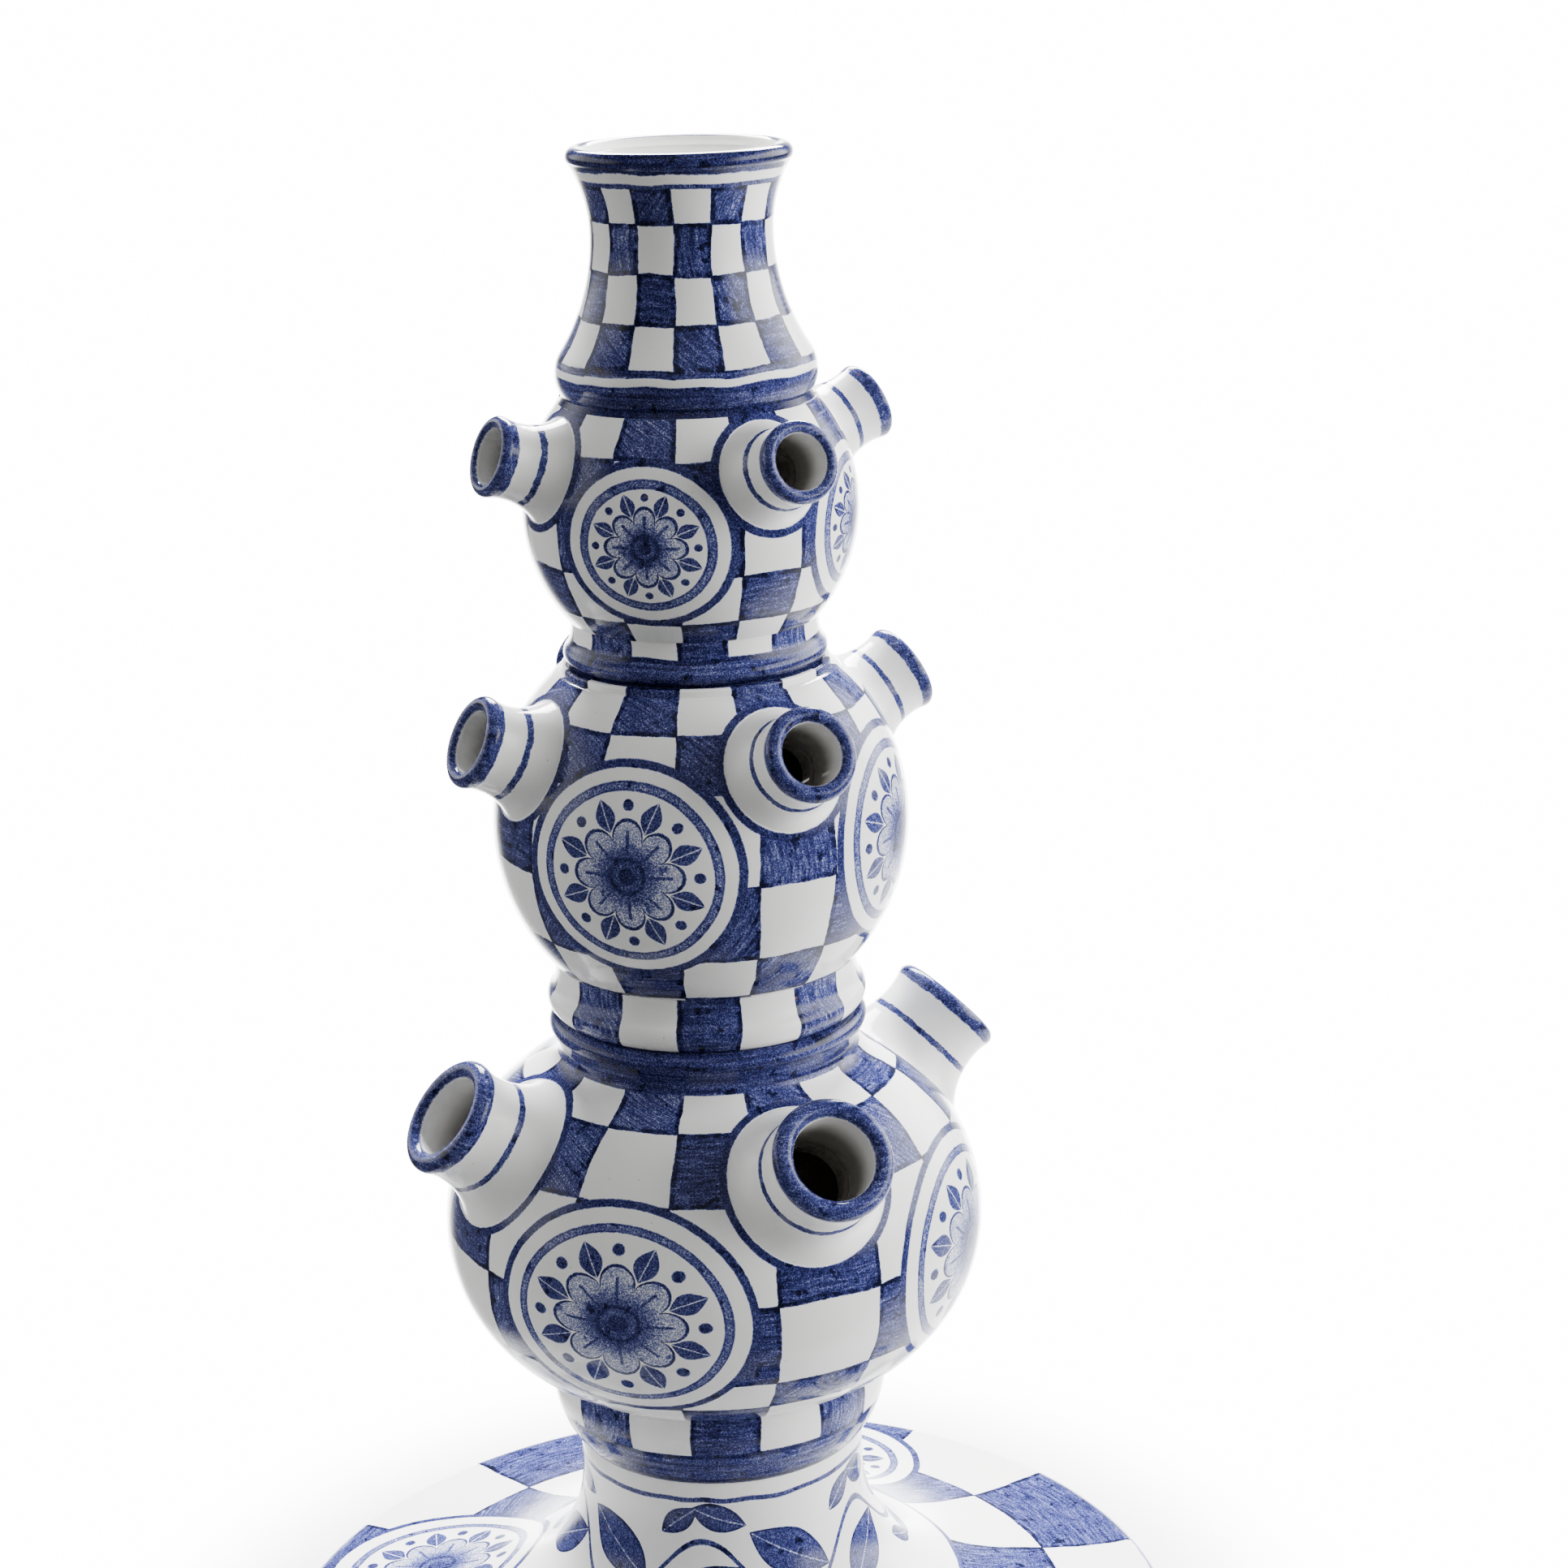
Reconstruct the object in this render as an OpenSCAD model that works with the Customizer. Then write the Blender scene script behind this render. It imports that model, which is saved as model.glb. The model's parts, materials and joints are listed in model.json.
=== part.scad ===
// Stacking flower tower of glazed pottery: a flared base and three globe
// tiers that lift off, each with slanted spouts around it and a vase neck on top.
// Lengths are in millimetres, angles in degrees. The tower stands on z = 0.

/* [Base] */
// Width across the dish edge
base_d = 348.6; // [310:0.2:390]
// Height of the base up to the seat of the lower tier
base_h = 97.3; // [85:0.1:115]
// Thickness of the rounded dish edge
edge_h = 12; // [9:0.5:15]
// Outside width of the pedestal at its top
stem_d = 107.4; // [98:0.2:118]

/* [Globes] */
// Width of the lower globe
low_d = 201; // [182:0.5:220]
// Meridian radius of the lower globe's upper half, which is flatter than a ball
low_arc = 69.6; // [63:0.2:76]
// Meridian radius of the lower globe's underside
low_under = 61.5; // [56:0.5:67]
// Width of the middle globe
mid_d = 151.6; // [138:0.2:166]
// Width of the upper globe
top_d = 119.6; // [108:0.2:131]
// Thickness of the globe walls
wall = 6.5; // [5:0.1:8]
// Thickness of the globe floors
floor_t = 8; // [6:0.5:10]

/* [Feet and collars] */
// Height of the lower foot
low_foot_h = 29.9; // [27:0.1:33]
// Height of the middle foot
mid_foot_h = 20.2; // [17:0.1:23]
// Height of the upper foot
top_foot_h = 16; // [14:0.1:18]
// Height of the collar on the lower globe
low_collar_h = 21.8; // [18:0.1:25]
// Height of the collar on the middle globe
mid_collar_h = 3; // [2:0.1:5]
// Depth of the locating ring under each foot
spigot_h = 10; // [7:0.5:13]
// Free space around each locating ring
play = 1.5; // [1:0.1:2.5]

/* [Spouts] */
// Slant of each lower spout above the level: front, right, back, left
low_slants = [38, 43, 39.5, 38.5]; // [34:0.1:46]
// Slant of each middle spout
mid_slants = [26.7, 27, 27, 25]; // [22:0.1:32]
// Slant of each upper spout
top_slants = [19.3, 21.5, 20.5, 18.6]; // [16:0.1:25]
// Turn of each lower spout off its quarter: front, right, back, left
low_turns = [-3.6, -3.7, -3.2, -1.6]; // [-8:0.1:8]
// Turn of each middle spout
mid_turns = [-0.6, -0.6, -0.6, -2.2]; // [-8:0.1:8]
// Turn of each upper spout
top_turns = [2.9, 1.6, 1.6, -1.9]; // [-8:0.1:8]
// Length of the lower spouts, from the skin of the globe to the lip
low_spout_l = 27.2; // [24:0.2:31]
// Length of the middle spouts
mid_spout_l = 22.4; // [19:0.2:26]
// Length of the upper spouts
top_spout_l = 21.2; // [18:0.2:24]
// Mouth width of the lower spouts
low_spout_d = 44.2; // [40:0.2:48]
// Mouth width of the middle spouts
mid_spout_d = 33.6; // [30:0.2:37]
// Mouth width of the upper spouts
top_spout_d = 28.6; // [26:0.2:31]
// Bore of the lower spouts
low_bore_d = 29.8; // [26:0.2:33]
// Bore of the middle spouts
mid_bore_d = 22; // [19:0.2:25]
// Bore of the upper spouts
top_bore_d = 19.4; // [17:0.2:21]

/* [Vase neck] */
// Height of the neck above the upper globe
neck_h = 88; // [80:0.5:97]
// Width across the ridge of the neck
ridge_d = 92.6; // [88:0.2:100]
// Width of the neck at its waist
neck_d = 64; // [58:0.2:70]
// Width across the neck's mouth
mouth_d = 79; // [72:0.2:86]
// Thickness of the neck's lip
lip_t = 7; // [5:0.1:8]

/* [Hidden] */
$fn = 144;
n_arc = 10;
white = [0.93, 0.93, 0.91];
painted = [0.60, 0.64, 0.78];

// Meridian arcs of the globes: centre offset from the axis and radius.
low_off = low_d / 2 - low_arc;
under_off = low_d / 2 - low_under;
mid_r = mid_d / 2;
top_r = top_d / 2;

// Depth of each globe's bottom and height of its top, from its widest level.
low_drop = 0.922 * low_under;
low_rise = 0.876 * low_arc;
mid_drop = 0.679 * mid_r;
mid_rise = 0.746 * mid_r;
top_drop = 0.662 * top_r;
top_rise = 0.642 * top_r;

// Levels up the tower.
z_low = base_h;
zc_low = z_low + low_foot_h + low_drop;
z_mid = zc_low + low_rise + low_collar_h;
zc_mid = z_mid + mid_foot_h + mid_drop;
z_top = zc_mid + mid_rise + mid_collar_h;
zc_top = z_top + top_foot_h + top_drop;
z_neck = zc_top + top_rise;
z_rim = z_neck + neck_h;

// Radii where the globes meet their feet, collars and neck.
low_root = under_off + sqrt(low_under * low_under - low_drop * low_drop);
low_crown = low_off + sqrt(low_arc * low_arc - low_rise * low_rise);
mid_root = sqrt(mid_r * mid_r - mid_drop * mid_drop);
mid_crown = sqrt(mid_r * mid_r - mid_rise * mid_rise);
top_root = sqrt(top_r * top_r - top_drop * top_drop);
top_crown = sqrt(top_r * top_r - top_rise * top_rise);

// Collars and the mouths that take the locating rings.
low_lip = low_crown - 5.8;
low_neck = low_lip - 3.7;
low_mouth = low_lip - 8.4;
lip_roll = 4.4;
mid_lip = mid_crown - 2;
mid_mouth = mid_lip - 8.6;
stem_r = stem_d / 2;
stem_in = stem_r - 7;

// Spouts as [bore radius, mouth radius, free length, globe offset, globe radius].
low_spout = [low_bore_d / 2, low_spout_d / 2, low_spout_l, low_off, low_arc];
mid_spout = [mid_bore_d / 2, mid_spout_d / 2, mid_spout_l, 0, mid_r];
top_spout = [top_bore_d / 2, top_spout_d / 2, top_spout_l, 0, top_r];

function arc(x, y, r, a0, a1, n) =
    [for (i = [0 : n]) let (a = a0 + (a1 - a0) * i / n) [x + r * cos(a), y + r * sin(a)]];

function bend(a, b, c, n) =
    [for (i = [0 : n]) let (t = i / n)
        (1 - t) * (1 - t) * a + 2 * t * (1 - t) * b + t * t * c];

SIDES = ["front", "right", "back", "left"];
TURNS = [-90, 0, 90, 180];

// The base: a wide dish edge that sweeps up into a hollow pedestal.
module base() {
    edge = edge_h / 2;
    er = base_d / 2 - edge;
    skin_pts = bend([er, edge_h], [stem_r + 0.8, edge_h + 4], [stem_r, base_h - 15], 26);
    inside = bend([stem_in, base_h - 22], [stem_in + 0.5, edge_h - 3.5], [er - 10, edge_h - 7], 24);
    color(painted)
    rotate_extrude()
    polygon(concat(
        arc(er, edge, edge, -90, 90, 16),
        skin_pts,
        [[stem_r, base_h - 1.2], [stem_r - 1.2, base_h], [stem_in, base_h]],
        inside,
        [[er - 11, 0]]));
}

// A foot: a ring wall, a floor web and the locating ring below it.
module foot(z, h, outer, ring_r) {
    ring_in = ring_r - 6;
    top = outer[len(outer) - 1];
    color(painted)
    rotate_extrude()
    translate([0, z])
    polygon(concat(
        [[ring_in, -spigot_h], [ring_r - 1, -spigot_h], [ring_r, 1 - spigot_h], [ring_r, 0]],
        outer,
        [[top[0] - 8, h], [top[0] - 8, 8], [ring_in, 8]]));
}

module lower_foot() {
    bulge = 38.4;
    crest = low_foot_h - 5.2;
    c = low_root + 0.7 - bulge;
    foot(z_low, low_foot_h,
        arc(c, crest, bulge, -asin(crest / bulge), asin((low_foot_h - crest) / bulge), n_arc),
        stem_in - play);
}

module middle_foot() {
    roll = 6;
    r = mid_root + 3.2;
    foot(z_mid, mid_foot_h,
        concat(
            arc(r - roll, roll, roll, -90, 35, n_arc),
            bend([r - roll + roll * cos(35), roll + roll * sin(35)],
                [mid_root - 0.6, mid_foot_h - 8],
                [mid_root - 0.3, mid_foot_h], 6)),
        low_mouth - play);
}

module upper_foot() {
    roll = 4;
    r = top_root + 2.7;
    foot(z_top, top_foot_h,
        concat(
            arc(r - roll, roll, roll, -90, 35, n_arc),
            bend([r - roll + roll * cos(35), roll + roll * sin(35)],
                [top_root - 0.8, top_foot_h - 7],
                [top_root - 0.3, top_foot_h], 6)),
        mid_mouth - play);
}

// The lower globe's body, set in by a wall and raised by a floor for its hollow.
module lower_ball(inset, raise) {
    intersection() {
        translate([low_off, zc_low]) circle(low_arc - inset);
        translate([0, zc_low]) square([low_d, low_rise]);
    }
    translate([0, zc_low - low_drop + raise]) intersection() {
        union() {
            translate([under_off, low_drop - raise]) circle(low_under - inset);
            square([under_off, low_drop - raise]);
        }
        square([low_d, low_drop - raise]);
    }
}

// Filled outlines of the globes, used to make them and to trim their spouts.
module lower_outline() {
    lower_ball(0, 0);
    polygon(concat(
        [[0, zc_low + low_rise - 8], [low_crown - 2, zc_low + low_rise - 8]],
        bend([low_crown, zc_low + low_rise], [low_neck - 1, zc_low + low_rise + 4],
            [low_neck, zc_low + low_rise + 10], 6),
        arc(low_lip - lip_roll, z_mid - lip_roll, lip_roll, -30, 90, 8),
        [[0, z_mid]]));
}

module middle_outline() {
    intersection() {
        translate([0, zc_mid]) circle(mid_r);
        translate([0, zc_mid - mid_drop]) square([mid_d, mid_drop + mid_rise]);
    }
    translate([0, zc_mid + mid_rise - 4]) square([mid_lip, mid_collar_h + 4]);
}

module upper_outline() {
    intersection() {
        translate([0, zc_top]) circle(top_r);
        translate([0, zc_top - top_drop]) square([top_d, top_drop + top_rise]);
    }
}

// Puts a spout on its side of a globe, square to the skin.
module spout_place(zc, s, turn, slant) {
    rotate(turn)
    translate([s[3], 0, zc])
    rotate([0, 90 - slant, 0])
    children();
}

// A turned spout: rounded lip, slight waist and a flare down to the globe.
module spout_blank(s) {
    lip = (s[1] - s[0]) / 2;
    waist = 0.945 * s[1];
    w_at = -0.45 * s[2];
    f_out = 0.39 * s[1];
    f_len = 0.55 * s[2] + pow(waist + f_out, 2) / (2 * s[4]) + 0.6;
    fr = (f_out * f_out + f_len * f_len) / (2 * f_out);
    fa = asin(f_len / fr);
    flare = arc(waist + fr, w_at, fr, 180, 180 + fa, 9);
    tip = flare[9];
    translate([0, 0, s[4] + s[2]])
    rotate_extrude()
    polygon(concat(
        [[s[0], tip[1] - 6]],
        arc(s[0] + lip, -lip, lip, 180, 0, 12),
        bend([s[1], -lip - 0.4], [waist + 0.1, w_at * 0.62], [waist + 0.02, w_at + 0.6], 4),
        flare,
        [[tip[0], tip[1] - 6]]));
}

// The holes that the potter cuts in a globe's wall, each with a shallow recess under its spout.
module spout_holes(zc, s, turns, slants) {
    recess = s[0] * s[0] / (2 * s[4]) + 0.7;
    for (i = [0 : 3])
        spout_place(zc, s, TURNS[i] + turns[i], slants[i]) {
            translate([0, 0, s[4] - 4 * wall]) cylinder(r = s[0] - 2, h = 6 * wall);
            translate([0, 0, s[4] - recess]) cylinder(r = s[0] + 0.3, h = 2 * wall);
        }
}

module lower_globe() {
    color(painted)
    difference() {
        rotate_extrude() difference() {
            lower_outline();
            lower_ball(wall, floor_t);
            translate([-1, zc_low]) square([low_mouth + 1, low_d]);
        }
        spout_holes(zc_low, low_spout, low_turns, low_slants);
    }
}

module middle_globe() {
    color(painted)
    difference() {
        rotate_extrude() difference() {
            middle_outline();
            intersection() {
                translate([0, zc_mid]) circle(mid_r - wall);
                translate([-1, zc_mid - mid_drop + floor_t]) square([mid_d, mid_d]);
            }
            translate([-1, zc_mid]) square([mid_mouth + 1, mid_d]);
        }
        spout_holes(zc_mid, mid_spout, mid_turns, mid_slants);
    }
}

module upper_globe() {
    color(painted)
    difference() {
        rotate_extrude() difference() {
            upper_outline();
            intersection() {
                translate([0, zc_top]) circle(top_r - wall);
                translate([-1, zc_top - top_drop + floor_t]) square([top_d, top_d]);
            }
        }
        spout_holes(zc_top, top_spout, top_turns, top_slants);
    }
}

module lower_spout(i) {
    color(white)
    difference() {
        spout_place(zc_low, low_spout, TURNS[i] + low_turns[i], low_slants[i]) spout_blank(low_spout);
        rotate_extrude() lower_outline();
    }
}

module middle_spout(i) {
    color(white)
    difference() {
        spout_place(zc_mid, mid_spout, TURNS[i] + mid_turns[i], mid_slants[i]) spout_blank(mid_spout);
        rotate_extrude() middle_outline();
    }
}

module upper_spout(i) {
    color(white)
    difference() {
        spout_place(zc_top, top_spout, TURNS[i] + top_turns[i], top_slants[i]) spout_blank(top_spout);
        rotate_extrude() upper_outline();
    }
}

// The vase neck: a soft ridge, a waist and a flared mouth with a round lip.
module upper_neck() {
    lip = lip_t / 2;
    zr = z_neck + 0.111 * neck_h;
    zw = z_neck + 0.659 * neck_h;
    rr = ridge_d / 2;
    rw = neck_d / 2;
    ridge = 14;
    half = asin(0.55);
    low = [rr - ridge + ridge * cos(half), zr + ridge * sin(half)];
    high = [mouth_d / 2 - 0.5, z_rim - 1.45 * lip];
    r1 = (pow(low[0] - rw, 2) + pow(zw - low[1], 2)) / (2 * (low[0] - rw));
    r2 = (pow(high[0] - rw, 2) + pow(high[1] - zw, 2)) / (2 * (high[0] - rw));
    a1 = asin((zw - low[1]) / r1);
    a2 = asin((high[1] - zw) / r2);
    i1 = asin((zw - low[1]) / (r1 + lip_t));
    mouth = [rw + r2 - r2 * cos(a2) - lip * cos(a2), zw + r2 * sin(a2) + lip * sin(a2)];
    color(painted)
    rotate_extrude()
    polygon(concat(
        [[top_crown - wall - 2.2, z_neck], [top_crown - 0.2, z_neck]],
        arc(rr - ridge, zr, ridge, -half, half, n_arc),
        arc(rw + r1, zw, r1, 180 + a1 * 0.95, 180, 14),
        arc(rw + r2, zw, r2, 180 - a2 * 0.1, 180 - a2, 10),
        arc(mouth[0], z_rim - lip, lip, -25, 180, 14),
        arc(rw + r2, zw, r2 + lip_t, 180 - a2 * 0.9, 180 - a2 * 0.1, 8),
        arc(rw + r1, zw, r1 + lip_t, 180, 180 + i1, 12)));
}

base();
lower_foot();
lower_globe();
middle_foot();
middle_globe();
upper_foot();
upper_globe();
upper_neck();
for (i = [0 : 3]) {
    lower_spout(i);
    middle_spout(i);
    upper_spout(i);
}
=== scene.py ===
import json
import math
from types import SimpleNamespace

import bmesh
import bpy
from mathutils import Matrix, Vector


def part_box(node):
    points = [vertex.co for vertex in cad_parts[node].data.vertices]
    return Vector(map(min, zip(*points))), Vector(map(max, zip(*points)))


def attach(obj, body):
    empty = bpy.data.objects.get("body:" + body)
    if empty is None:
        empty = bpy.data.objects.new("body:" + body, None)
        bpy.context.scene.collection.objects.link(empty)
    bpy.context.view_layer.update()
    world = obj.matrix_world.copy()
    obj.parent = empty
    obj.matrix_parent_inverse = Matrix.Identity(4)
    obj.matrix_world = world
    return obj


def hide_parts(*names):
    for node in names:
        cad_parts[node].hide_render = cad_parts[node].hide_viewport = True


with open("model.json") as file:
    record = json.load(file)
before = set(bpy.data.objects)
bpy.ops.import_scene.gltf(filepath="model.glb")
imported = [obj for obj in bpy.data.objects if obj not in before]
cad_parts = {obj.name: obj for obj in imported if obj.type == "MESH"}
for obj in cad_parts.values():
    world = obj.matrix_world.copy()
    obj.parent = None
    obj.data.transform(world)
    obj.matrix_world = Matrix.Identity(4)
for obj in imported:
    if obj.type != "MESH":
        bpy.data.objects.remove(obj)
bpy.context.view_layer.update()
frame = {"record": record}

# The base is one thrown piece of white earthenware: a wide dish edge that sweeps up into a
# hollow pedestal. It is glazed all over, stands on a flat ring and carries the whole tower.
# Sizes are millimetres and MM turns them into Blender's metres.
MM = 0.001
SPIN_STEPS = 160
OVAL = 0.0016
THREE_LOBED = 0.0010
SHARP_EDGE = math.radians(48)
BASE_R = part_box("base")[1].x / MM
BASE_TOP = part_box("base")[1].z / MM
EDGE_R = 6
STEM_R = 53.7
STEM_IN = 46.7
STEM_LIP = 1.2
STEM_STRAIGHT = 15
HOLLOW_TOP = 22
STAND_WIDTH = 11


def arc(x, z, radius, start, end, steps):
    """Points on a round stretch of an outline, with angles in degrees."""
    turns = [math.radians(start + (end - start) * i / steps) for i in range(steps + 1)]
    return [(x + radius * math.cos(t), z + radius * math.sin(t)) for t in turns]


def bend(a, b, c, steps):
    """Points on a curve from a to c that is drawn towards b."""
    shares = [i / steps for i in range(steps + 1)]
    return [
        tuple((1 - t) ** 2 * p + 2 * t * (1 - t) * q + t * t * s for p, q, s in zip(a, b, c))
        for t in shares
    ]


def spun(outline, steps=SPIN_STEPS, closed=True):
    """Clay spun round the upright axis from an outline of radii and heights."""
    clay = bmesh.new()
    points = [clay.verts.new((r * MM, 0, z * MM)) for r, z in outline]
    ends = points[1:] + points[:1] if closed else points[1:]
    for here, there in zip(points, ends):
        clay.edges.new((here, there))
    bmesh.ops.remove_doubles(clay, verts=clay.verts[:], dist=0.02 * MM)
    bmesh.ops.spin(
        clay, geom=clay.verts[:] + clay.edges[:], cent=(0, 0, 0), axis=(0, 0, 1),
        steps=steps, angle=2 * math.pi, use_merge=True)
    bmesh.ops.remove_doubles(clay, verts=clay.verts[:], dist=0.002 * MM)
    bmesh.ops.recalc_face_normals(clay, faces=clay.faces[:])
    return clay


def hand_sway(clay):
    """The slight unevenness that a thrower's hands leave, the same for pieces that meet."""
    for v in clay.verts:
        turn = math.atan2(v.co.y, v.co.x)
        height = v.co.z / MM
        oval = OVAL * math.sin(2 * turn + height / 60)
        lobes = THREE_LOBED * math.sin(3 * turn - height / 45)
        v.co.xy *= 1 + (oval + lobes)


def piece(node, clay, finish):
    """Makes the clay an object that stands for a CAD node and rides on that node's body."""
    mesh = bpy.data.meshes.new(node + "_glazed")
    clay.to_mesh(mesh)
    clay.free()
    mesh.shade_smooth()
    mesh.set_sharp_from_angle(angle=SHARP_EDGE)
    mesh.materials.append(finish)
    made = bpy.data.objects.new(node + "_glazed", mesh)
    bpy.context.scene.collection.objects.link(made)
    bodies = frame["record"]["behaviour"]["bodies"]
    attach(made, next(body for body, nodes in bodies.items() if node in nodes))
    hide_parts(node)
    return made


LINE_EDGE = 0.25


class Brush:
    """A value in a glaze's nodes, so that paint can be written as sums."""

    def __init__(self, tree, socket=None):
        self.tree = tree
        self.socket = socket

    def node(self, kind, settings=None, values=None, output=0):
        """Adds a node with its settings, then the values or links of its sockets."""
        made = self.tree.nodes.new(kind)
        for name, setting in (settings or {}).items():
            if name == "stops":
                ramp = made.color_ramp
                while len(ramp.elements) < len(setting):
                    ramp.elements.new(0.5)
                for stop, (place, colour) in zip(ramp.elements, setting):
                    stop.position = place
                    stop.color = colour
            else:
                setattr(made, name, setting)
        for key, value in (values or {}).items():
            if isinstance(value, Brush):
                self.tree.links.new(value.socket, made.inputs[key])
            else:
                made.inputs[key].default_value = value
        return Brush(self.tree, made.outputs[output] if made.outputs else None)

    def math(self, operation, *others):
        """This value and the others through one Math node."""
        values = dict(enumerate((self,) + others))
        return self.node("ShaderNodeMath", {"operation": operation}, values)

    def __add__(self, other):
        return self.math("ADD", other)

    def __sub__(self, other):
        return self.math("SUBTRACT", other)

    def __rsub__(self, other):
        return self.node("ShaderNodeMath", {"operation": "SUBTRACT"}, {0: other, 1: self})

    def __mul__(self, other):
        return self.math("MULTIPLY", other)

    def __truediv__(self, other):
        return self.math("DIVIDE", other)

    def __abs__(self):
        return self.math("ABSOLUTE")

    __radd__ = __add__
    __rmul__ = __mul__

    def fade(self, full, none):
        """1 where the value is at full, 0 where it is at none, smooth between."""
        return self.node(
            "ShaderNodeMapRange", {"interpolation_type": "SMOOTHSTEP"},
            {"Value": self, "From Min": none, "From Max": full})

    def near(self, place, half):
        """1 within half of a place, as a brush line of that half width."""
        return abs(self - place).fade(half - LINE_EDGE, half + LINE_EDGE)

    def fold(self, period, start=0.0):
        """The value brought into one period, from minus half of it to plus half."""
        return (self - (start - period / 2)).math("FLOORED_MODULO", period) - period / 2


def over(tone, mask, ground):
    """Paint of a tone where the mask is 1, and the ground elsewhere."""
    return ground + (tone - ground) * mask


def vector(x, y, z):
    """Three values joined into a vector."""
    maker = next(part for part in (x, y, z) if isinstance(part, Brush))
    return maker.node("ShaderNodeCombineXYZ", None, {"X": x, "Y": y, "Z": z})


def length(x, y):
    """The distance from the origin of a flat place."""
    return (x * x + y * y).math("SQRT")


def noise(place, scale, detail=2.0, output="Fac"):
    """Soft noise with features of about 1 / scale millimetres."""
    return place.node(
        "ShaderNodeTexNoise", None,
        {"Vector": place, "Scale": scale, "Detail": detail, "Roughness": 0.6}, output)


COBALT = [
    (0.00, (0.800, 0.800, 0.785, 1)), (0.12, (0.450, 0.470, 0.590, 1)),
    (0.30, (0.150, 0.172, 0.350, 1)), (0.50, (0.050, 0.060, 0.205, 1)),
    (0.70, (0.020, 0.0235, 0.108, 1)), (0.88, (0.007, 0.008, 0.040, 1)),
    (1.00, (0.002, 0.003, 0.011, 1)),
]
COLUMNS = 16
COLUMN = 2 * math.pi / COLUMNS
DRIFT = 0.045
DRIFT_UP = 3.0
DRIFT_ASIDE = 3.6
RAGGED = 0.35


def canvas(tree, turned):
    """Where a point of a piece lies, in millimetres, with the sway of a painter's hand."""
    here = Brush(tree).node("ShaderNodeTexCoord", output="Object")
    spot = here.node("ShaderNodeVectorMath", {"operation": "SCALE"}, {0: here, "Scale": 1 / MM})
    x, y, z = (spot.node("ShaderNodeSeparateXYZ", None, {0: spot}, axis) for axis in "XYZ")
    normal = here.node("ShaderNodeNewGeometry", output="Normal")
    lean = [normal.node("ShaderNodeSeparateXYZ", None, {0: normal}, axis) for axis in "XY"]
    r = length(x, y)
    drift = noise(spot, DRIFT, 1.0, "Color")
    sway = [drift.node("ShaderNodeSeparateColor", None, {0: drift}, i) - 0.5 for i in range(2)]
    rag = noise(spot, RAGGED, 2.0) - 0.5
    return SimpleNamespace(
        spot=spot, z=z + sway[1] * DRIFT_UP, plain_z=z, r=r, rag=rag,
        turn=y.math("ARCTAN2", x) - math.radians(turned), sway=sway[0] * DRIFT_ASIDE,
        outside=((lean[0] * x + lean[1] * y) / r).fade(0.0, -0.02))


CHECK = SimpleNamespace(
    tone=0.73, vary=0.12, streaks=0.95, outline=0.34, corner=0.12,
    ragged=0.7, spread=0.4, upright=0.6)
STROKE_ALONG = 0.09
STROKE_ACROSS = 0.85


def checks(at, level, borders, first):
    """Hand-ruled checks: 16 columns round the piece, with rows between the borders from the top.
    Even columns, at the spouts and the roundels, are blue in odd rows when first is 1."""
    column = (at.turn + at.sway / at.r) / COLUMN + 0.5
    index = column.math("FLOOR")
    share = column - index
    side = share.math("MINIMUM", 1 - share) * at.r * COLUMN
    row = sum(level.math("LESS_THAN", border) for border in borders)
    end = abs(level - borders[0])
    for border in borders[1:]:
        end = end.math("MINIMUM", abs(level - border))
    white = (index + row + (first + COLUMNS)).math("FLOORED_MODULO", 2)
    inside = side.math("MINIMUM", end) * (1 - 2 * white)
    inside = inside + at.rag * CHECK.ragged + CHECK.spread
    lone = vector(index.math("FLOORED_MODULO", COLUMNS), row, 0.5)
    seed = lone.node("ShaderNodeTexWhiteNoise", {"noise_dimensions": "3D"}, {"Vector": lone}, "Value")
    upright = seed.math("LESS_THAN", CHECK.upright) * (STROKE_ACROSS - STROKE_ALONG)
    strokes = vector(
        at.turn * at.r * (STROKE_ALONG + upright), level * (STROKE_ACROSS - upright), seed * 40)
    hatch = noise(strokes, 1.0, 2.0) - 0.5
    tone = CHECK.tone + (seed - 0.5) * CHECK.vary + hatch * CHECK.streaks
    outline = abs(inside - 0.9).fade(0.3, 1.4) * noise(at.spot, 0.22, 2.0).fade(0.62, 0.30)
    corner = length(side, end).fade(0.6, 4.0)
    return inside.fade(0.3, -0.15) * (
        tone + outline * CHECK.outline + corner * CHECK.corner)


BAND_ALONG = 0.03
BAND_ACROSS = 0.75
BAND_STREAKS = 0.85


def banded(at, tone):
    """A band laid on while the wheel turns, so that its brush strokes run round the piece."""
    height = at.plain_z * BAND_ACROSS + at.sway * 0.2
    strokes = noise(vector(at.turn * at.r * BAND_ALONG, height, at.r * 0.5), 1.0, 3.0)
    return tone + (strokes - 0.5) * BAND_STREAKS


def facing(at, start, off, level, lean):
    """Flat coordinates on the four faces that look out at quarter turns and lean up."""
    aside = at.turn.fold(math.pi / 2, start)
    ahead = at.r * aside.math("COSINE") - off
    up = (at.plain_z - level) * math.cos(lean) - ahead * math.sin(lean)
    return at.r * aside.math("SINE") + at.sway * 0.4, up + at.rag * 0.5


PETALS = 8
FLOWER = SimpleNamespace(
    heart=0.20, bud=0.09, notch=0.42, petal=0.22, veins=0.50, dots=0.80, dot=0.05,
    leaf_foot=0.52, leaf_length=0.38, leaf_width=0.12)


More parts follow.
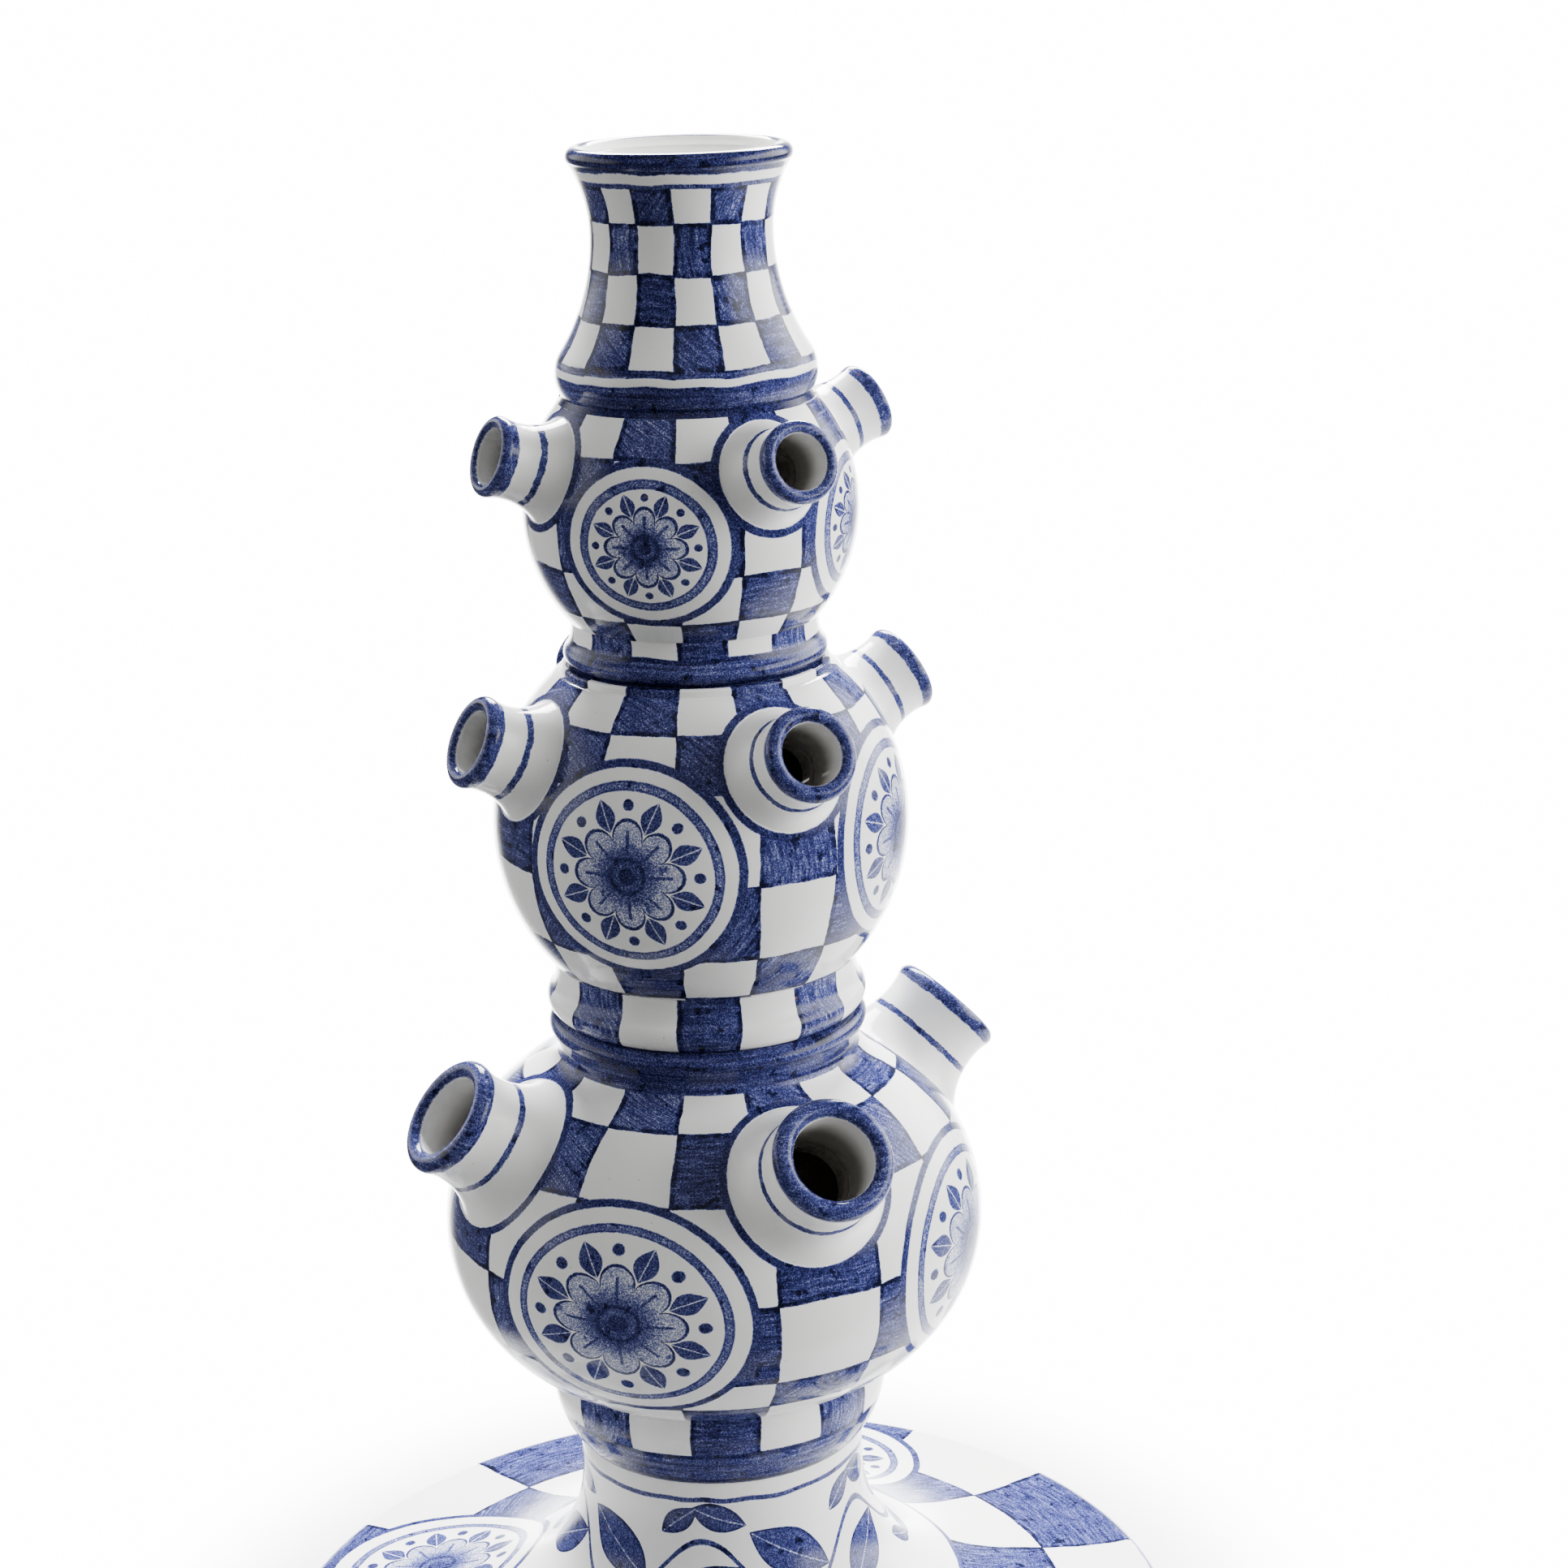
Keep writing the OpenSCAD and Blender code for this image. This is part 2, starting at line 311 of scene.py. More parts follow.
def rosette(across, up, size):
    """An eight-petalled flower with leaves and dots between its petals, in a ring of this size."""
    reach = length(across, up)
    angle = up.math("ARCTAN2", across)
    eighth = 2 * math.pi / PETALS
    wave = abs((angle * (PETALS / 2)).math("COSINE")).math("POWER", 0.6)
    inside = wave * (FLOWER.petal * size) + FLOWER.notch * size - reach
    wash = 0.26 + 0.42 * (reach / size).fade(FLOWER.heart, FLOWER.veins)
    flower = wash * inside.fade(0.2, -0.2)
    vein = abs(angle.fold(eighth)) * reach
    veined = reach.fade(FLOWER.veins * size, (FLOWER.veins + 0.04) * size)
    flower = over(0.70, vein.fade(0.3, 0.8) * veined, flower)
    gap = abs(angle.fold(eighth, eighth / 2)) * reach
    out = (reach / size - FLOWER.leaf_foot) / FLOWER.leaf_length
    leaf = (out * math.pi).math("SINE") * (FLOWER.leaf_width * size) - gap
    middle = FLOWER.leaf_foot + FLOWER.leaf_length / 2
    span = abs(reach / size - middle).fade(0.18, 0.19)
    flower = over(0.72, leaf.fade(0.25, -0.15) * span, flower)
    flower = over(0.20, gap.fade(0.1, 0.4) * span, flower)
    dot = length(reach - FLOWER.dots * size, vein)
    flower = over(0.80, dot.fade(FLOWER.dot * size, (FLOWER.dot + 0.02) * size), flower)
    flower = over(0.82, inside.near(0, 0.6), flower)
    bud = reach.fade(FLOWER.bud * size, (FLOWER.bud + 0.02) * size)
    heart = reach.near(FLOWER.heart * size, 0.8).math("MAXIMUM", bud)
    return over(0.86, heart, flower)


RING_HALF = 1.6
OUTLINE_HALF = 1.35


def roundel(across, up, outer, inner, ground):
    """A white disc on the checks, with an outline, an inner ring and a flower."""
    reach = length(across, up)
    disc = rosette(across, up, inner)
    ring = 0.56 + 0.2 * abs(reach - inner).fade(1.5, 0.6)
    disc = over(ring, reach.near(inner, RING_HALF), disc)
    disc = over(disc, reach.fade(outer - 0.2, outer + 0.2), ground)
    return over(0.80, reach.near(outer + 0.7, OUTLINE_HALF), disc)


# Painted shade: a dark clay colour laid in the hollows, inside the globes and down the bores.
INSIDE_SHADE_COLOUR = (0.13, 0.12, 0.105, 1)
PIT = (0.19, 0.17, 0.15, 1)
RUST = (0.22, 0.087, 0.03, 1)
WASH = SimpleNamespace(grain=0.34, cloud=0.22, blot=0.36, thin=0.38)
GLOSS = 0.14


def stain_and_shade(colour, share, overlay):
    """A colour with a share of another laid over it, for specks and for painted shade."""
    return colour.node(
        "ShaderNodeMix", {"data_type": "RGBA"}, {"Factor": share, 6: colour, 7: overlay}, 2)


def specks(place, scale, full, none):
    """Small round specks, about 1 / scale millimetres apart."""
    cells = place.node("ShaderNodeTexVoronoi", None, {"Vector": place, "Scale": scale})
    return cells.fade(full, none)


def glaze(name, turned, paint, inside_shade=None):
    """Tin glaze over cobalt: paint gives how much blue each point has, from 0 to 1, and the last
    argument gives where painted shade, a dark clay colour, lies in the hollows."""
    material = bpy.data.materials.new(name)
    material.use_nodes = True
    tree = material.node_tree
    tree.nodes.clear()
    at = canvas(tree, turned)
    blue = paint(at)
    grain = noise(at.spot, 1.5, 3.0) - 0.5
    cloud = noise(at.spot, 0.11, 2.0) - 0.5
    blot = noise(at.spot, 0.19, 3.0).fade(0.70, 0.59)
    thin = abs(noise(at.spot, 1.1, 1.0) - 0.5).fade(0.01, 0.055)
    painted = blue.fade(0.35, 0.05)
    pooled = grain * WASH.grain + cloud * WASH.cloud + blot * WASH.blot - thin * WASH.thin
    blue = blue + painted * pooled
    colour = blue.node("ShaderNodeValToRGB", {"stops": COBALT}, {"Fac": blue}, "Color")
    # Painted shade in the hollows.
    if inside_shade:
        colour = stain_and_shade(colour, inside_shade(at), INSIDE_SHADE_COLOUR)
    colour = stain_and_shade(colour, specks(at.spot, 0.11, 0.018, 0.040) * 0.55, PIT)
    colour = stain_and_shade(colour, specks(at.spot, 0.035, 0.010, 0.022) * 0.75, RUST)
    ripple = noise(at.spot, 0.06, 1.0) * 0.35 + noise(at.spot, 0.5, 2.0) * 0.02
    bump = ripple.node(
        "ShaderNodeBump", None, {"Height": ripple, "Strength": 0.5, "Distance": MM}, "Normal")
    sheen = 0.09 + 0.05 * noise(at.spot, 0.2, 2.0)
    surface = colour.node(
        "ShaderNodeBsdfPrincipled", None,
        {"Base Color": colour, "Roughness": sheen, "Normal": bump, "IOR": 1.5,
         "Specular IOR Level": GLOSS})
    surface.node("ShaderNodeOutputMaterial", None, {"Surface": surface})
    return material


PEDESTAL_LINE = 90.0
VINE_MIDDLE = 58.0
VINE_SWING = 15.0
VINE_BENDS = 10
VINE_LEAVES = (((-1, -7), 35, 19, 9.5), ((6, 25), -20, 11, 5.5), ((-9, 23), 40, 9, 4.5))
DISH_RINGS = (92.0, 132.0)
DISH_ROUNDEL = (122.0, 44.0, 35.0)


def leaf_shape(x, y, place, tilt, half_length, half_width):
    """How far a point lies inside a pointed leaf and from its rib, in millimetres."""
    cos, sin = math.cos(math.radians(tilt)), math.sin(math.radians(tilt))
    along = (x - place[0]) * cos + (y - place[1]) * sin
    across = (y - place[1]) * cos - (x - place[0]) * sin
    taper = 1 - (along / half_length) * (along / half_length)
    return taper * half_width - abs(across), abs(across)


def leafy_vine(at):
    """A plain vine that winds round the pedestal, with leaves in each bend."""
    half = 2 * math.pi / VINE_BENDS
    bend_number = (at.turn / half).math("FLOOR")
    side = 1 - 2 * bend_number.math("FLOORED_MODULO", 2)
    x = at.turn.fold(half, half / 2) * at.r + at.sway * 0.3
    y = (at.z - 0.6 * (at.r - STEM_R) - VINE_MIDDLE) * side
    stem = y - (at.turn.fold(half, half / 2) * (math.pi / half)).math("COSINE") * VINE_SWING
    vine = 0.72 * (stem * 0.85).near(0, 1.1)
    for leaf in VINE_LEAVES:
        inside, rib = leaf_shape(x, y, *leaf)
        fill = 0.74 - 0.4 * rib.fade(0.1, 0.5) + 0.18 * abs(inside).fade(0.3, 1.4)
        vine = over(fill, inside.fade(0.2, -0.2), vine)
    return vine


def base_paint(at):
    """The vine on the pedestal, two rings of checks on the dish and a roundel at each corner."""
    rings = checks(at, 0 - at.r - at.sway * 0.5, [-DISH_RINGS[0], -DISH_RINGS[1]], 0)
    on_dish = (at.r + at.sway * 0.4).fade(DISH_RINGS[0] + 0.2, DISH_RINGS[0] - 0.2)
    blue = over(rings, on_dish, leafy_vine(at))
    blue = over(0.7, (at.r + at.sway * 0.4).near(DISH_RINGS[0], 1.0), blue)
    centre, outer, inner = DISH_ROUNDEL
    aside = at.turn.fold(math.pi / 2, math.pi / 4)
    across = at.r * aside.math("SINE") + at.sway * 0.4
    ahead = at.r * aside.math("COSINE") - centre + at.rag * 0.5
    blue = roundel(across, ahead, outer, inner, blue)
    above = at.z.fade(PEDESTAL_LINE - 0.8, PEDESTAL_LINE - 1.2)
    blue = blue * (1 - above)
    blue = over(0.72, at.z.near(PEDESTAL_LINE, 0.9), blue)
    blue = over(0.66, (at.r + at.rag).fade(BASE_R - 3.2, BASE_R - 3.8), blue)
    return blue * at.outside


edge_centre = BASE_R - EDGE_R
dish_top = 2 * EDGE_R
sweep = bend(
    (edge_centre, dish_top), (STEM_R + 0.8, dish_top + 4), (STEM_R, BASE_TOP - STEM_STRAIGHT), 60)
hollow = bend(
    (STEM_IN, BASE_TOP - HOLLOW_TOP), (STEM_IN + 0.5, dish_top - 3.5),
    (edge_centre - STAND_WIDTH + 1, dish_top - 7), 30)
base_outline = (
    arc(edge_centre, EDGE_R, EDGE_R, -90, 90, 16)
    + sweep
    + [(STEM_R, BASE_TOP - STEM_STRAIGHT + 7)]
    + arc(STEM_R - STEM_LIP, BASE_TOP - STEM_LIP, STEM_LIP, 0, 90, 4)
    + [(STEM_IN, BASE_TOP)]
    + hollow
    + [(edge_centre - STAND_WIDTH, 0)])
clay = spun(base_outline)
hand_sway(clay)
piece("base", clay, glaze("base_glaze", 0, base_paint))

# Each tier stands on a thrown foot ring, joined with slip under its globe before the firing.
# A plain ring below it drops loosely into the mouth of the piece underneath. The outside
# carries one row of checks, and the lower and upper feet end in a blue band.
PLAY = 1.5
RING_DEPTH = 10
RING_WALL = 6
FOOT_WALL = 8
ABOVE_ALL = 1000.0
TURNS = {"lower": -3.2, "middle": -0.6, "upper": 1.6}
SEATS = {tier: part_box(tier + "_foot")[0].z / MM + RING_DEPTH for tier in TURNS}
ROOTS = {"lower": 62.8, "middle": 55.65, "upper": 44.82}
MOUTHS_BELOW = {"lower": STEM_IN, "middle": 50.27, "upper": 39.88}
FOOT_TOPS = {tier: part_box(tier + "_foot")[1].z / MM for tier in TURNS}
FOOT_HEIGHTS = {tier: FOOT_TOPS[tier] - SEATS[tier] for tier in TURNS}


def half_round(root, height):
    """The lower foot swells out below the globe and draws in to the pedestal."""
    bulge = 38.4
    crest = height - 5.2
    low = math.degrees(math.asin(crest / bulge))
    high = math.degrees(math.asin((height - crest) / bulge))
    return arc(root + 0.7 - bulge, crest, bulge, -low, high, 24)


def rolled(root, height, roll, swell, dip):
    """A foot with a round roll at its edge and a hollow curve up to the globe."""
    r = root + swell - roll
    top = arc(r, roll, roll, -90, 35, 16)
    return top + bend(top[-1], (root - 0.7, height - dip), (root - 0.3, height), 12)


FOOT_SIDES = {
    "lower": half_round(ROOTS["lower"], FOOT_HEIGHTS["lower"]),
    "middle": rolled(ROOTS["middle"], FOOT_HEIGHTS["middle"], roll=6, swell=3.2, dip=8),
    "upper": rolled(ROOTS["upper"], FOOT_HEIGHTS["upper"], roll=4, swell=2.7, dip=7),
}
FOOT_BANDS = {"lower": 111.9, "middle": 0.0, "upper": 407.0}
FOOT_TURNS = {"lower": -3.2, "middle": -4.1, "upper": -1.6}


def foot_paint(band, seat):
    """One row of checks, white below the spouts, over a blue band up to a level that darkens
    down to the seat."""
    def paint(at):
        row = checks(at, at.z, [ABOVE_ALL], 0)
        strokes = banded(at, 0.74) + 0.24 * at.z.fade(seat + 1.5, seat + 4.5)
        row = over(strokes, at.z.fade(band - 0.2, band + 0.2), row)
        row = over(0.92, at.z.near(band, 0.8), row)
        return row * at.plain_z.fade(seat + 0.3, seat) * at.outside
    return paint


for tier, side in FOOT_SIDES.items():
    ring = MOUTHS_BELOW[tier] - PLAY
    inner = ring - RING_WALL
    top = side[-1][0] - FOOT_WALL
    foot = (
        [(inner, -RING_DEPTH), (ring - 1, -RING_DEPTH), (ring, 1 - RING_DEPTH), (ring, 0)]
        + side + [(top, FOOT_HEIGHTS[tier]), (top, FOOT_WALL), (inner, FOOT_WALL)])
    clay = spun([(r, z + SEATS[tier]) for r, z in foot])
    hand_sway(clay)
    paint = foot_paint(FOOT_BANDS[tier], SEATS[tier])
    finish = glaze(tier + "_foot_glaze", FOOT_TURNS[tier], paint)
    piece(tier + "_foot", clay, finish)

# The three globes are thrown hollow with a closed floor, with painted shade inside, and a hole cut
# for each spout. The lower one is flatter and ends in a collar, the middle one in a low rim, and
# the upper one is open to the neck. Checks cover them, with a white roundel between each pair of
# spouts.
WALL = 6.5
FLOOR = 8
MOUTH_EDGE = 1.5
HOLE_LEDGE = 2
FAR_SIDE = 100
GLOBES = {
    "lower": dict(radius=100.5, over=69.6, under=61.5, drop=56.703, rise=60.97, mouth=50.27),
    "middle": dict(radius=75.8, over=75.8, under=75.8, drop=51.468, rise=56.547, mouth=39.88),
    "upper": dict(radius=59.8, over=59.8, under=59.8, drop=39.588, rise=38.392, mouth=37.0),
}
SPOUTS = {
    "lower": dict(bore=14.9, mouth=22.1, length=27.2),
    "middle": dict(bore=11.0, mouth=16.8, length=22.4),
    "upper": dict(bore=9.7, mouth=14.3, length=21.2),
}
SIDES = ["front", "right", "back", "left"]
SLANTS = {
    "lower": [38, 43, 39.5, 38.5],
    "middle": [26.7, 27, 27, 25],
    "upper": [19.3, 21.5, 20.5, 18.6],
}
ASIDE = {
    "lower": [-3.6, -3.7, -3.2, -1.6],
    "middle": [-0.6, -0.6, -0.6, -2.2],
    "upper": [2.9, 1.6, 1.6, -1.9],
}
ROOT_WIDTH = 1.36
LEVELS = {tier: FOOT_TOPS[tier] + GLOBES[tier]["drop"] for tier in GLOBES}
COLLAR_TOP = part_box("lower_globe")[1].z / MM
RIM_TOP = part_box("middle_globe")[1].z / MM
ROWS = {
    "lower": [68.2, 40.0, 3.8, -29.5, -47.3],
    "middle": [69.0, 49.5, 28.8, -5.2, -34.2, -55.1],
    "upper": [25.9, -14.5, -33.7],
}
FIRST_ROWS = {"lower": 0, "middle": 1, "upper": 0}
ROUNDELS = {
    "lower": dict(aside=0.6, lean=-1.9, outer=46.9, inner=38.9, squash=1.18),
    "middle": dict(aside=-1.6, lean=0.0, outer=38.0, inner=31.4, squash=1.02),
    "upper": dict(aside=0.8, lean=-3.2, outer=29.2, inner=22.8, squash=1.06),
}
DARK_BANDS = {"lower": 84.5, "middle": 69.0, "upper": 200.0}


def ball(size, level, inset):
    """The round side of a globe from its floor up, set in by a wall."""
    bottom, top = size["under"] - inset, size["over"] - inset
    low = math.degrees(math.asin((size["drop"] - (FLOOR if inset else 0)) / bottom))
    high = math.degrees(math.asin(min(size["rise"] / top, 0.999)))
    if inset:
        high = math.degrees(math.acos((size["mouth"] - size["radius"] + size["over"]) / top))
    return (
        arc(size["radius"] - size["under"], level, bottom, -low, 0, 30)
        + arc(size["radius"] - size["over"], level, top, 0, high, 30)[1:])


def mouth_edges(tier, crown, size):
    """The edge of each globe's opening, from the outer skin over to the inside."""
    mouth = size["mouth"]
    if tier == "lower":
        lip, roll, neck = crown[0] - 5.8, 4.4, crown[0] - 9.5
        return (
            bend(crown, (neck - 1, crown[1] + 4), (neck, crown[1] + 10), 10)
            + arc(lip - roll, COLLAR_TOP - roll, roll, -30, 90, 12)
            + arc(mouth + MOUTH_EDGE, COLLAR_TOP - MOUTH_EDGE, MOUTH_EDGE, 90, 180, 5))
    if tier == "middle":
        return (
            [(crown[0] - 2, crown[1] + 0.3)]
            + arc(crown[0] - 3, RIM_TOP - 1, 1, 0, 90, 4)
            + arc(mouth + MOUTH_EDGE, RIM_TOP - MOUTH_EDGE, MOUTH_EDGE, 90, 180, 5))
    return [(mouth + 0.2, crown[1])]


def spout_aims(tier):
    """The turn round the tower and the slant of each spout, which were set on by hand."""
    return [
        (math.radians(90 * (i - 1) + ASIDE[tier][i]), math.radians(SLANTS[tier][i]))
        for i in range(len(SIDES))]


def spout_axis(tier, turn, slant):
    """Lays the upright axis along the line on which a spout looks out of its globe."""
    size = GLOBES[tier]
    return (
        Matrix.Rotation(turn, 4, "Z")
        @ Matrix.Translation(Vector((size["radius"] - size["over"], 0, LEVELS[tier])) * MM)
        @ Matrix.Rotation(math.pi / 2 - slant, 4, "Y"))


def from_spouts(at, tier):
    """How far a point of a globe lies from the axis of each of its spouts, and further still
    on the far side of the tower."""
    off = GLOBES[tier]["radius"] - GLOBES[tier]["over"]
    for turn, slant in spout_aims(tier):
        aside = at.turn + (math.radians(TURNS[tier]) - turn)
        ahead = at.r * aside.math("COSINE") - off
        up = (at.plain_z - LEVELS[tier]) * math.cos(slant) - ahead * math.sin(slant)
        yield length(at.r * aside.math("SINE"), up) + FAR_SIDE * ahead.math("LESS_THAN", 0)


def globe_inside_shade(tier):
    """Painted shade: a dark clay colour inside the globe and where a spout's bore opens on it."""
    def inside_shade(at):
        nearest = sum(
            reach.fade(SPOUTS[tier]["bore"] + 0.2, SPOUTS[tier]["bore"] + 0.5)
            for reach in from_spouts(at, tier))
        return (1 - at.outside).math("MAXIMUM", nearest)
    return inside_shade


def globe_paint(tier):
    """Rows of checks up the globe, four roundels, and white discs where the spouts are set on."""
    size, level, disc = GLOBES[tier], LEVELS[tier], ROUNDELS[tier]
    off = size["radius"] - size["over"]
    root = ROOT_WIDTH * SPOUTS[tier]["mouth"]

    def paint(at):
        climb = (at.z - level).math("ARCTAN2", at.r - off) * size["over"]
        blue = checks(at, climb, ROWS[tier], FIRST_ROWS[tier])
        dark = climb.fade(DARK_BANDS[tier] + 0.2, DARK_BANDS[tier] - 0.2)
        blue = over(banded(at, 0.80), dark, blue)
        start = math.pi / 4 + math.radians(disc["aside"])
        across, up = facing(at, start, off, level, math.radians(disc["lean"]))
        blue = roundel(across, up * disc["squash"], disc["outer"], disc["inner"], blue)
        for reach in from_spouts(at, tier):
            reach = reach + at.rag * 0.5
            blue = blue * (1 - reach.fade(root, root + 0.3))
            blue = over(0.84, reach.near(root + 0.9, 1.3), blue)
        return blue * at.outside
    return paint


def pierce(globe, tier):
    """Cuts the four round holes behind the spouts through the globe's wall."""
    hole = (SPOUTS[tier]["bore"] - HOLE_LEDGE) * MM
    in_wall = Matrix.Translation((0, 0, (GLOBES[tier]["over"] - WALL) * MM))
    drills = bmesh.new()
    for turn, slant in spout_aims(tier):
        bmesh.ops.create_cone(
            drills, cap_ends=True, segments=48, radius1=hole, radius2=hole,
            depth=5 * WALL * MM, matrix=spout_axis(tier, turn, slant) @ in_wall)
    mesh = bpy.data.meshes.new("drills")
    drills.to_mesh(mesh)
    drills.free()
    drill = bpy.data.objects.new("drills", mesh)
    bpy.context.scene.collection.objects.link(drill)
    cut = globe.modifiers.new("holes", "BOOLEAN")
    cut.object = drill
    cut.operation = "DIFFERENCE"
    cut.solver = "EXACT"
    holed = bpy.data.meshes.new_from_object(
        globe.evaluated_get(bpy.context.evaluated_depsgraph_get()))
    globe.modifiers.clear()
    globe.data = holed
    bpy.data.objects.remove(drill)


for tier, size in GLOBES.items():
    skin = ball(size, LEVELS[tier], 0)
    hollow = ball(size, LEVELS[tier], WALL)
    outline = (
        [(0, skin[0][1])] + skin + mouth_edges(tier, skin[-1], size)
        + hollow[::-1] + [(0, hollow[0][1])])
    clay = spun(outline, closed=False)
    hand_sway(clay)
    finish = glaze(tier + "_globe_glaze", TURNS[tier], globe_paint(tier), globe_inside_shade(tier))
    pierce(piece(tier + "_globe", clay, finish), tier)

# Twelve turned spouts hold the flower stems, four to a tier. Each is pulled out of its own ring
# of clay, with a rolled lip and a flare that is smoothed on to the globe with slip. They stay
# white, with a blue lip, a thin ring and a dark root line, and painted shade darkens the bore.
WAIST_SHARE = 0.945
SPREAD_SHARE = 0.39
DIP_SHARE = 0.45
FLARE_START = 0.95
FLARE_SPAN = 0.4
RING_SHARE = 0.30
LIP_PAINT = 5.4


def spout_outline(spout, skin):
    """The spout's side from its bore over the lip to its root, upright on the globe's centre."""
    bore, mouth, top = spout["bore"], spout["mouth"], skin + spout["length"]
    lip = (mouth - bore) / 2
    waist = WAIST_SHARE * mouth
    dip = top - DIP_SHARE * spout["length"]
    spread = SPREAD_SHARE * mouth
    fall = dip - skin + (waist + spread) ** 2 / (2 * skin) + 0.6
    sweep = (spread ** 2 + fall ** 2) / (2 * spread)
    root = math.degrees(math.asin(fall / sweep))
    return (
        [(bore, skin - 1.5)]
        + [(bore, skin + (spout["length"] - lip) * i / 8) for i in range(1, 8)]
        + arc(bore + lip, top - lip, lip, 180, 0, 18)
        + bend((mouth, top - lip - 0.5), (waist, top - 0.3 * spout["length"]), (waist, dip + 1.0), 8)
        + arc(waist + sweep, dip, sweep, 180, 180 + root, 20)
        + [(waist + spread, dip - fall - 1.5)])


def settle(clay, spout, size, placed):
    """Places a spout and lays its flare on the globe, which is flatter across than up. Each point
    keeps its height on the spout and its distance from the bore's axis for the paint."""
    off, skin = size["radius"] - size["over"], size["over"]
    along = clay.verts.layers.float.new("along")
    around = clay.verts.layers.float.new("around")
    for v in clay.verts:
        reach = v.co.xy.length / MM
        stand = v.co.length / MM - skin
        v[along] = v.co.z / MM - skin
        v[around] = reach
        v.co = placed @ v.co
        out = Vector((v.co.x, v.co.y, 0)).normalized()
        spine = out * off * MM + Vector((0, 0, placed.translation.z))
        normal = v.co - spine
        share = (reach - FLARE_START * spout["mouth"]) / (FLARE_SPAN * spout["mouth"])
        share = min(max(share, 0), 1)
        v.co += normal.normalized() * (stand * MM + skin * MM - normal.length) * share


def on_spout(at):
    """The height on the spout and the distance from its axis that each point keeps."""
    return (
        at.spot.node("ShaderNodeAttribute", {"attribute_name": name}, output="Fac")
        for name in ("along", "around"))


def spout_bore_shade(spout):
    """Painted shade: the bore darkens towards its foot to a dark clay colour."""
    def inside_shade(at):
        along, reach = on_spout(at)
        deep = along.fade(0.25 * spout["length"], 0.85 * spout["length"])
        return deep * reach.fade(spout["bore"] + 0.1, spout["bore"] + 0.5) * 0.9
    return inside_shade


def spout_paint(spout):
    """A blue lip, a thin ring on the outside and a dark line where the flare meets the globe."""
    def paint(at):
        along, reach = on_spout(at)
        along = along + at.sway * 0.4 + at.rag * 1.2
        lip = along.fade(spout["length"] - LIP_PAINT, spout["length"] - LIP_PAINT - 0.6)
        lip = lip * reach.fade(spout["bore"] + 0.5, spout["bore"] + 0.1)
        ring = along.near(RING_SHARE * spout["length"], 1.1)
        ring = ring * reach.fade(spout["bore"] + 2.2, spout["bore"] + 1.8)
        root = ROOT_WIDTH * spout["mouth"]
        line = (reach + at.rag * 0.5).fade(root + 0.4, root - 0.2)
        rim = banded(at, 0.74) * lip
        return rim.math("MAXIMUM", 0.72 * ring).math("MAXIMUM", 0.86 * line)
    return paint


for tier, spout in SPOUTS.items():
    size = GLOBES[tier]
    finish = glaze(tier + "_spout_glaze", TURNS[tier], spout_paint(spout), spout_bore_shade(spout))
    for side, (turn, slant) in zip(SIDES, spout_aims(tier)):
        clay = spun(spout_outline(spout, size["over"]), steps=80)
        settle(clay, spout, size, spout_axis(tier, turn, slant))
        hand_sway(clay)
        piece(f"{tier}_spout_{side}", clay, finish)

# The vase neck is thrown by itself and joined to the upper globe at a soft ridge. It draws in to
# a waist and flares to a round lip. Four rows of checks stand between white lines, over a blue
# band, and the lip is painted round on the wheel.
NECK_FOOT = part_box("upper_neck")[0].z / MM
NECK_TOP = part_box("upper_neck")[1].z / MM
NECK_HEIGHT = NECK_TOP - NECK_FOOT
LIP = 3.5
RIDGE = (46.3, NECK_FOOT + 0.111 * NECK_HEIGHT, 14.0)
RIDGE_BEND = 0.55
WAIST = (32.0, NECK_FOOT + 0.659 * NECK_HEIGHT)
MOUTH_R = 39.5
CROWN_R = 45.85
NECK_ROWS = [568.2, 555.4, 538.5, 522.1, 507.4]
CHECKS_FOOT = 505.0
FOOT_LINE = 506.3
TOP_LINE = 568.8
NECK_BAND = 497.5
JOIN_LINE = 493.4
LIP_FOOT = 573.2


def neck_outline():
    """The neck's side from its joint over the ridge, the waist and the lip, and down inside."""
    half = math.degrees(math.asin(RIDGE_BEND))
    ridge = arc(RIDGE[0] - RIDGE[2], RIDGE[1], RIDGE[2], -half, half, 16)
    low, high = ridge[-1], (MOUTH_R - 0.5, NECK_TOP - 1.45 * LIP)
    waist_r, waist_z = WAIST
    lower = ((low[0] - waist_r) ** 2 + (waist_z - low[1]) ** 2) / (2 * (low[0] - waist_r))
    upper = ((high[0] - waist_r) ** 2 + (high[1] - waist_z) ** 2) / (2 * (high[0] - waist_r))
    a_low = math.degrees(math.asin((waist_z - low[1]) / lower))
    a_high = math.degrees(math.asin((high[1] - waist_z) / upper))
    in_low = math.degrees(math.asin((waist_z - low[1]) / (lower + 2 * LIP)))
    lip_r = waist_r + upper - (upper + LIP) * math.cos(math.radians(a_high))
    return (
        [(CROWN_R - WALL - 2.2, NECK_FOOT), (CROWN_R - 0.2, NECK_FOOT)]
        + ridge
        + arc(waist_r + lower, waist_z, lower, 180 + 0.95 * a_low, 180, 30)
        + arc(waist_r + upper, waist_z, upper, 180 - 0.05 * a_high, 180 - a_high, 24)
        + arc(lip_r, NECK_TOP - LIP, LIP, -25, 180, 24)
        + arc(waist_r + upper, waist_z, upper + 2 * LIP, 180 - 0.9 * a_high, 180 - 0.05 * a_high, 20)
        + arc(waist_r + lower, waist_z, lower + 2 * LIP, 180, 180 + in_low, 24))


